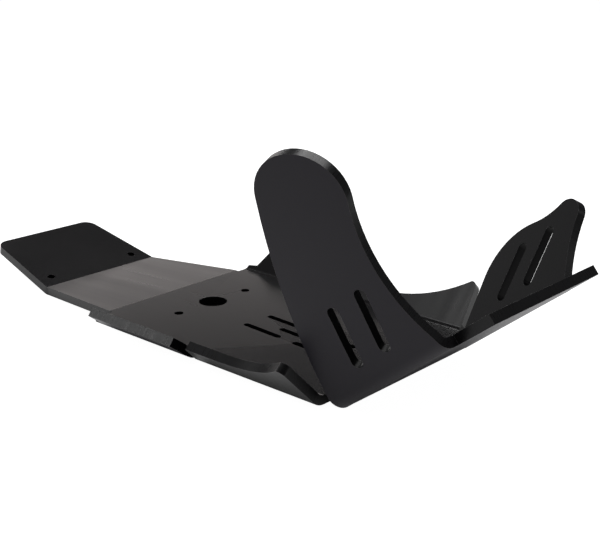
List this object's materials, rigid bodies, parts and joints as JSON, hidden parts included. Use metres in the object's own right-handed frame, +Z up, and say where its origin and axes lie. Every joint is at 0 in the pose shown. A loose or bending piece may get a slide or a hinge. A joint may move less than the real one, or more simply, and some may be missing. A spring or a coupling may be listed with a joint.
{
  "type": "skid plate",
  "caption": "Motorcycle skid plate folded from one thick plastic sheet, with a drilled flat base, a rear tongue, side flaps and two slotted front wings of unequal height.",
  "frame": {"origin": "midway between the two base bolt holes, on the underside of the flat base", "axes": "+X forward along the motorcycle, +Y to its left side, +Z up through the base"},
  "size_m": [0.5976, 0.2806, 0.2105],
  "materials": {
    "sheet_plastic": "satin black"
  },
  "bodies": {
    "root": {"skid_plate": "sheet_plastic"}
  },
  "joints": []
}
